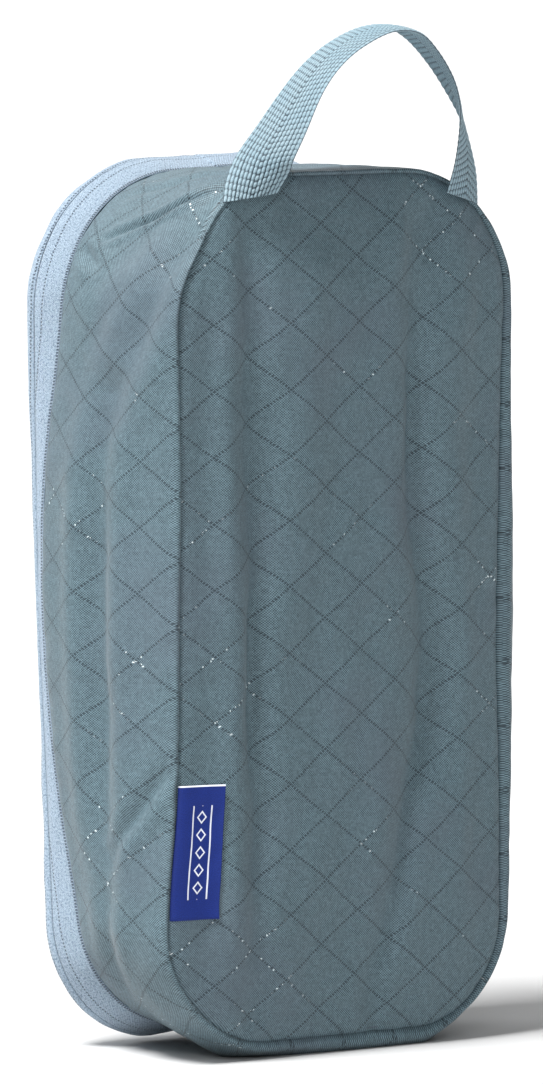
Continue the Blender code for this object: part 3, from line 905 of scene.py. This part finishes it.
def lid_half(profile, share):
    """The same across the lid's half, from the slit (share 0) over the crown to the back seam (1)."""
    a, b, c = (profile[:, i : i + 2, None] for i in (CUT, CROWN, BACK))
    place = a * (1 - share) * (1 - 2 * share) + b * 4 * share * (1 - share) + c * share * (2 * share - 1)
    place[:, 0] += 0.40 * MM * (1 - share)
    return place[:, 0], place[:, 1]


def make_tape(name, body, node, half, outer_first, seed):
    """One half of the tape. The UV's V starts at the half's sewn edge."""
    flat, normal, profile, along = rim_outline(HINGE_HALF)
    share = np.linspace(0, 1, TAPE_COLUMNS)
    depth, out = half(profile, share)
    ripple = 0.25 * MM * smooth_noise(seed, stack(along[:, None], depth), 0.03)
    out = out + ripple * np.sin(np.pi * share)
    place = flat[:, None] + normal[:, None] * out[..., None]
    points = rear_place(place, depth)
    points[..., 2] = np.maximum(points[..., 2], 0.4 * MM)
    steps = np.hypot(np.diff(depth, axis=1), np.diff(out, axis=1))
    across = np.pad(np.cumsum(steps, axis=1), ((0, 0), (1, 0)))
    if not outer_first:
        across = across[:, -1:] - across
    obj = grid_object(name, points, stack(along[:, None], across), TAPE, flip=True, thick=0.7 * MM)
    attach(obj, body)
    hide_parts(node)


def make_coil(name, body, node, inward):
    """A toothed nylon coil on the tape's inner face, a hair away from the slit on its own side."""
    flat, normal, profile, along = rim_outline(COIL_END)
    steps = 4
    count = int(along[-1] / TOOTH_PITCH) * steps
    rows = resample(np.hstack([flat, normal, profile[:, CUT : CUT + 2]]), count, 2)
    phase = np.arange(count) % steps
    tooth = np.array([0.45, 1.0, 1.0, 0.45])[phase]
    lift = np.array([0.55, 1.0, 1.0, 0.55])[phase]
    sides = 8
    angle = 2 * np.pi * np.arange(sides) / sides
    across = (np.cos(angle) * 0.5 + 0.5) * COIL_WIDE * (0.75 + 0.25 * tooth[:, None])
    thick = np.sin(angle) * 0.5 * COIL_THICK * lift[:, None]
    out = rows[:, 5:6] - 1.1 * MM - COIL_THICK / 2 + thick
    place = rows[:, None, :2] + rows[:, None, 2:4] * out[..., None]
    points = rear_place(place, rows[:, 4:5] + inward * (0.15 * MM + across))
    faces = grid_faces(count, sides, closed_columns=True, flip=inward < 0)
    first, last = tuple(range(sides)), tuple(range((count - 1) * sides, count * sides))
    ends = [first, last[::-1]] if inward < 0 else [first[::-1], last]
    obj = mesh_object(name, points.reshape(-1, 3), faces + ends, COIL)
    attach(obj, body)
    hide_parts(node)


def make_zipper():
    make_tape("zipper_tape_bag_side", "bag", "zipper_tape_body", bag_half, True, 51)
    make_tape("zipper_tape_lid_side", "lid", "zipper_tape_lid", lid_half, False, 52)
    make_coil("zipper_coil_bag_side", "bag", "zipper_coil_body", -1)
    make_coil("zipper_coil_lid_side", "lid", "zipper_coil_lid", 1)


# -------- hinge strip, bindings and stitches

def make_hinge_strip():
    rows, columns = 30, 24
    x = np.linspace(-HINGE_HALF, HINGE_HALF, rows)
    depth = np.linspace(GUSSET_BACK - 0.5 * MM, 0.3 * MM, columns)
    flat_x, flat_depth = np.meshgrid(x, depth, indexing="ij")
    sag = 0.5 * MM * smooth_noise(61, stack(flat_x, flat_depth), 0.02)
    sag = sag * np.sin(np.pi * np.linspace(0, 1, columns))
    drop = np.interp(depth, [GUSSET_BACK, SLIT, 0], -RIM[0, [EDGE + 1, CUT + 1, BACK + 1]])
    points = rear_place(stack(flat_x, sag + drop), flat_depth)
    uv = stack(flat_depth + 0.5, flat_x + 0.5)
    obj = grid_object("hinge_strip_cloth", points, uv, CLOTH, thick=CLOTH_THICK * 1.4)
    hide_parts("hinge_strip")
    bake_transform(obj)


def make_binding(name, node, body, place, flat, normal, depths, inset, seed, shift=0.0):
    """A folded binding over a raw seam: a flat band with rounded edges and small waves."""
    lengths = cloth_lengths(flat)
    width = abs(depths[1] - depths[0])
    thick = 1.1 * MM
    around = np.linspace(0, 2 * np.pi, 15)[:-1]
    across = np.sign(np.cos(around)) * np.abs(np.cos(around)) ** 0.5 * width / 2
    raised = np.sign(np.sin(around)) * np.abs(np.sin(around)) ** 0.7 * thick / 2
    wave = 0.25 * MM * smooth_noise(seed, lengths[:-1, None], 0.018)
    middle = (depths[0] + depths[1]) / 2
    insets = np.reshape(inset, (-1, 1)) + thick / 2 - raised + 0.25 * MM + wave[:, None]
    spots = flat[:, None] - normal[:, None] * insets[..., None]
    points = place(spots, np.broadcast_to(middle + across, insets.shape) + np.reshape(shift, (-1, 1)))
    points = np.concatenate([points, points[:, :1]], axis=1)
    ring = np.concatenate([[0.0], np.cumsum(np.hypot(np.diff(across), np.diff(raised)))])
    ring = np.append(ring, ring[-1] + thick)
    uv = stack(lengths[:, None], ring)
    obj = grid_object(name, points, uv, BINDING, closed_rows=True, flip=place is front_place)
    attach(obj, body)
    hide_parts(node)


def make_bindings():
    inner = 1.5 * MM
    low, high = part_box("front_seam_binding")
    make_binding("front_seam_tape", "front_seam_binding", "bag", front_place, FRONT_FLAT, FRONT_NORMAL,
                 (low.y, high.y), inner, 71)
    low, high = rim_extent("gusset_rim_binding")
    make_binding("gusset_rim_tape", "gusset_rim_binding", "bag", rear_place, REAR_FLAT, REAR_NORMAL,
                 (low[1], high[1]), inner + 0.6 * MM - RIM[:, EDGE + 1], 72, RIM[:, EDGE] - GUSSET_BACK)
    low, high = rim_extent("lid_seam_binding")
    make_binding("lid_seam_tape", "lid_seam_binding", "lid", rear_place, REAR_FLAT, REAR_NORMAL,
                 (low[1], high[1]), inner + 0.6 * MM - RIM[:, BACK + 1], 73, RIM[:, BACK])
    make_join_tape()


def make_join_tape():
    low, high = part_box("gusset_join_tape")
    rows, columns = 10, 30
    x, y = np.meshgrid(np.linspace(low.x, high.x, rows), np.linspace(low.y, high.y, columns), indexing="ij")
    z = high.z - 0.4 * MM + 0.2 * MM * smooth_noise(74, stack(x, y), 0.012)
    obj = grid_object("gusset_join_tape_woven", stack(x, y, z), stack(y, x), BINDING, flip=True,
                      thick=0.9 * MM)
    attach(obj, "bag")
    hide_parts("gusset_join_tape")


def make_stitches(name, body, centres, directions, raised):
    """A row of thread stitches: short rounded bars that sink into the cloth at both ends."""
    stations = np.array([-0.5, -0.42, -0.2, 0.2, 0.42, 0.5])
    radii = np.array([0.35, 0.8, 1.0, 1.0, 0.8, 0.35]) * STITCH_RADIUS
    rise = np.array([-0.9, 0.1, 0.6, 0.6, 0.1, -0.9]) * STITCH_RADIUS
    sides = 6
    angle = 2 * np.pi * np.arange(sides) / sides
    across = np.cross(directions, raised)
    points, faces = [], []
    size = len(stations) * sides
    for i, (centre, along, up, side) in enumerate(zip(centres, directions, raised, across)):
        middle = centre + along * (stations[:, None] * STITCH_LONG) + up * rise[:, None]
        ring = np.cos(angle)[None, :, None] * side + np.sin(angle)[None, :, None] * up
        points.append((middle[:, None] + ring * radii[:, None, None]).reshape(-1, 3))
        faces += grid_faces(len(stations), sides, closed_columns=True, flip=True, first=i * size)
        faces.append(tuple(range(i * size, i * size + sides)))
        last = i * size + size - sides
        faces.append(tuple(range(last + sides - 1, last - 1, -1)))
    obj = mesh_object(name, np.concatenate(points), faces, TAPE_THREAD)
    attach(obj, body)


def rim_stitches(name, body, half, share):
    """A seam's stitches at a share of the way across one half of the tape."""
    flat, normal, profile, along = rim_outline(HINGE_HALF)
    depth, out = half(profile, np.array([share]))
    rows = resample(np.hstack([flat, normal, depth, out]), int(along[-1] / STITCH_PITCH), 2)
    centres = rear_place(rows[:, :2] + rows[:, 2:4] * (rows[:, 5:] + STITCH_LIFT), rows[:, 4])
    raised = unit(rows[:, 2:3] * np.array([1.0, 0, 0]) + rows[:, 3:4] * RIM_UP)
    directions = unit(np.gradient(centres, axis=0))
    make_stitches(name, body, centres, directions, raised)


def make_rim_stitching():
    rim_stitches("tape_seam_stitches", "bag", bag_half, 0.1)
    rim_stitches("lid_seam_stitches", "lid", lid_half, 0.88)


# -------- handle

# In mm: the middle of the strap, and the way that its width runs from its rear edge to its front edge
HANDLE_STATIONS = (
    ((-51.0, -51.2, 354.3), (23.0, -6.5, 3.5)),
    ((-48.0, -52.0, 362.5), (21.0, -15.0, 3.0)),
    ((-44.5, -52.6, 370.5), (13.0, -22.0, -1.0)),
    ((-36.5, -52.8, 381.5), (6.5, -25.0, -2.0)),
    ((-25.0, -52.4, 397.0), (1.0, -26.0, -1.0)),
    ((-14.5, -52.0, 407.5), (0.0, -26.0, 0.0)),
    ((-2.0, -51.5, 415.5), (0.0, -26.0, 0.0)),
    ((14.0, -51.0, 421.5), (0.0, -26.0, -0.5)),
    ((28.0, -51.0, 421.5), (-0.5, -25.8, -2.5)),
    ((38.5, -51.0, 415.5), (-2.5, -25.0, -5.0)),
    ((48.5, -51.2, 404.5), (-6.0, -24.5, -5.5)),
    ((55.5, -51.5, 392.5), (-12.0, -22.8, -3.0)),
    ((58.5, -52.0, 383.5), (-16.5, -20.0, -1.0)),
    ((60.0, -52.4, 373.5), (-19.9, -16.8, 1.0)),
    ((60.8, -52.2, 363.0), (-22.4, -13.0, 3.5)),
    ((60.0, -51.4, 351.5), (-23.5, -8.4, 5.5)),
)
STRAP_WIDTH = 26 * MM
STRAP_THICK = 1.5 * MM
STRAP_RIBS = 15
STRAP_ROWS = 520
STRAP_COLUMNS = 86
WEAVE_LONG = 2.8 * MM
WEAVE_DEPTH = 0.75 * MM


def strap_weave(across, along):
    """Height, 0 to 1, of a herringbone webbing: columns of long floats, slanting to the middle rib."""
    rib = across * STRAP_RIBS
    column = np.floor(rib)
    ridge = np.abs(np.sin(np.pi * rib)) ** 0.6
    middle = (STRAP_RIBS - 1) / 2
    slant = np.abs(column - middle) * 0.28 + 0.5 * (column % 2)
    yarn = np.abs(np.sin(np.pi * (along / WEAVE_LONG + slant))) ** 0.5
    height = ridge * (0.25 + 0.75 * yarn)
    return np.where(column == middle, height * (0.35 + 0.65 * yarn), height)


def strap_layers(rows):
    """The strap's two faces as (rows, columns, 3) arrays, the weave's height on each, and the UVs."""
    centre, width = rows[:, :3], rows[:, 3:]
    normal = unit(np.cross(unit(width), unit(np.gradient(centre, axis=0))))
    across = np.linspace(0, 1, STRAP_COLUMNS)
    span = np.clip(np.linalg.norm(width, axis=1, keepdims=True), STRAP_WIDTH * 0.94, None)
    body = centre[:, None] + unit(width)[:, None] * (across[:, None] - 0.5) * span[:, None]
    round_edge = np.sqrt(np.clip(1 - np.abs(2 * across - 1) ** 10, 0, 1))
    cup = 0.9 * MM * (1 - (2 * across - 1) ** 2)
    places = stack(across, lengths_along(centre)[:, None])
    layers, heights = [], []
    for side, shift in ((1, 0.0), (-1, 0.5)):
        weave = strap_weave(places[..., 0], places[..., 1] + shift * WEAVE_LONG)
        lift = side * (STRAP_THICK / 2 - WEAVE_DEPTH * (1 - weave)) * round_edge + cup
        layers.append(body + normal[:, None] * lift[..., None])
        heights.append(weave)
    return layers, heights, places * (STRAP_WIDTH, 1.0)


def make_handle():
    rows = np.array(HANDLE_STATIONS).reshape(-1, 6) * MM
    layers, heights, uv = strap_layers(resample(catmull(rows, 24), STRAP_ROWS))
    shape = (STRAP_ROWS, STRAP_COLUMNS)
    count = STRAP_ROWS * STRAP_COLUMNS
    points = np.concatenate(layers).reshape(-1, 3)
    faces = grid_faces(*shape) + grid_faces(*shape, flip=True, first=count)
    faces += edge_faces(shape, count)
    obj = mesh_object("handle_strap", points, faces, WEBBING, np.tile(uv.reshape(-1, 2), (2, 1)))
    # The weave's height is kept for the material, which paints shade into the gaps from it
    attribute = obj.data.attributes.new("weave", "FLOAT", "POINT")
    attribute.data.foreach_set("value", np.concatenate(heights).astype(np.float32).ravel())
    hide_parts("handle_webbing", "handle_tail_left", "handle_tail_right")
    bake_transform(obj)


def edge_faces(shape, count):
    """Faces that close the rim between a front grid and a back grid of the same shape."""
    rows, columns = shape
    rim = [(0, j) for j in range(columns)] + [(i, columns - 1) for i in range(1, rows)]
    rim += [(rows - 1, j) for j in range(columns - 2, -1, -1)] + [(i, 0) for i in range(rows - 2, 0, -1)]
    index = [i * columns + j for i, j in rim]
    faces = []
    for a, b in zip(index, index[1:] + index[:1]):
        faces.append((b, a, a + count, b + count))
    return faces


# -------- label

LABEL_WIDTH = 25 * MM


def make_label():
    low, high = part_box("woven_label")
    height = high.z - low.z
    rows, columns = 60, 90
    share, rise = np.meshgrid(np.linspace(0, 1, columns), np.linspace(0, 1, rows), indexing="ij")
    z = low.z + rise * height
    left = (FRONT_FLAT[:, 0] < 0) & (FRONT_FLAT[:, 1] > 0.02) & (FRONT_FLAT[:, 1] < 0.2)
    seam = FRONT_FLAT[left][np.argsort(FRONT_FLAT[left, 1])]
    x = np.interp(z - SEAM_LIFT, seam[:, 1], seam[:, 0]) + 0.5 * MM
    x += 0.6 * MM * (1 - rise) + share * LABEL_WIDTH * (0.86 - 0.07 * rise)
    surface = front_relief(x, z - SEAM_LIFT, share * LABEL_WIDTH)
    curl = 0.5 * MM * share**2 + 0.15 * MM * smooth_noise(81, stack(x, z), 0.03)
    start = 1.3 * MM * (1 - np.exp(-share / 0.08))
    y = FRONT_Y - surface - start - np.abs(curl) + 0.2 * MM
    uv = stack(share * LABEL_WIDTH, rise * height)
    material = make_label_material(LABEL_WIDTH, height)
    obj = grid_object("label_cloth", stack(x, y, z), uv, material, flip=True, thick=0.45 * MM)
    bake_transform(obj)
    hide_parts("woven_label")


# -------- stage

WORLD_LIGHT = 0.16
WORLD_SEEN = 1.0


def make_stage():
    bpy.ops.mesh.primitive_plane_add(size=40, location=(0, 0, 0))
    floor = bpy.context.object
    floor.name = "studio_floor"
    floor.data.materials.append(make_floor_material())
    world = bpy.data.worlds.new("studio")
    world.use_nodes = True
    nodes, links = world.node_tree.nodes, world.node_tree.links
    path = nodes.new("ShaderNodeLightPath")
    level = nodes.new("ShaderNodeMapRange")
    level.inputs["To Min"].default_value = WORLD_LIGHT
    level.inputs["To Max"].default_value = WORLD_SEEN
    links.new(path.outputs["Is Camera Ray"], level.inputs["Value"])
    background = nodes["Background"]
    background.inputs["Color"].default_value = (1.0, 1.0, 1.0, 1.0)
    links.new(level.outputs["Result"], background.inputs["Strength"])
    bpy.context.scene.world = world
    bpy.context.scene.view_settings.view_transform = "Standard"


def add_sun(name, toward, strength, softness):
    """A wide, soft light from far away, so that the floor is evenly lit. toward points at the light."""
    light = bpy.data.lights.new(name, "SUN")
    light.energy = strength
    light.angle = math.radians(softness)
    obj = link(bpy.data.objects.new(name, light))
    obj.rotation_euler = Vector(toward).to_track_quat("Z", "Y").to_euler()


CAMERA_AZIMUTH = math.radians(-38)
CAMERA_ELEVATION = math.radians(4.3)
CAMERA_DISTANCE = 4.0
VIEW_HEIGHT = 0.4510
AIM = Vector((0.0, 0.0, 0.2082))


def make_camera():
    data = bpy.data.cameras.new("camera")
    data.sensor_fit = "VERTICAL"
    data.sensor_height = 24
    data.lens = data.sensor_height * CAMERA_DISTANCE / VIEW_HEIGHT
    data.clip_end = 100
    camera = link(bpy.data.objects.new("camera", data))
    level = math.cos(CAMERA_ELEVATION)
    toward = Vector((math.sin(CAMERA_AZIMUTH) * level, -math.cos(CAMERA_AZIMUTH) * level,
                     math.sin(CAMERA_ELEVATION)))
    camera.location = AIM + toward * CAMERA_DISTANCE
    camera.rotation_euler = (-toward).to_track_quat("-Z", "Y").to_euler()
    bpy.context.scene.camera = camera


def make_lights():
    add_sun("key", (-0.46, -0.04, 0.89), 5.2, 18)
    add_sun("left_rear", (-0.40, 0.72, 0.56), 0.6, 30)
    add_sun("front_fill", (-0.45, -0.72, 0.53), 0.62, 30)
    add_sun("back_fill", (0.30, 0.75, 0.60), 0.6, 60)


# -------- carried-over metal pieces

def dress_hardware():
    for node in ("zipper_stop_left", "zipper_stop_right", "slider_body", "slider_bridge", "slider_pull_tab"):
        obj = frame["nodes"][node]
        obj.data.materials.clear()
        obj.data.materials.append(METAL)


make_stage()
make_camera()
make_lights()
make_front_panel()
make_gusset()
make_back_panel()
make_zipper()
make_hinge_strip()
make_bindings()
make_rim_stitching()
make_handle()
make_label()
dress_hardware()
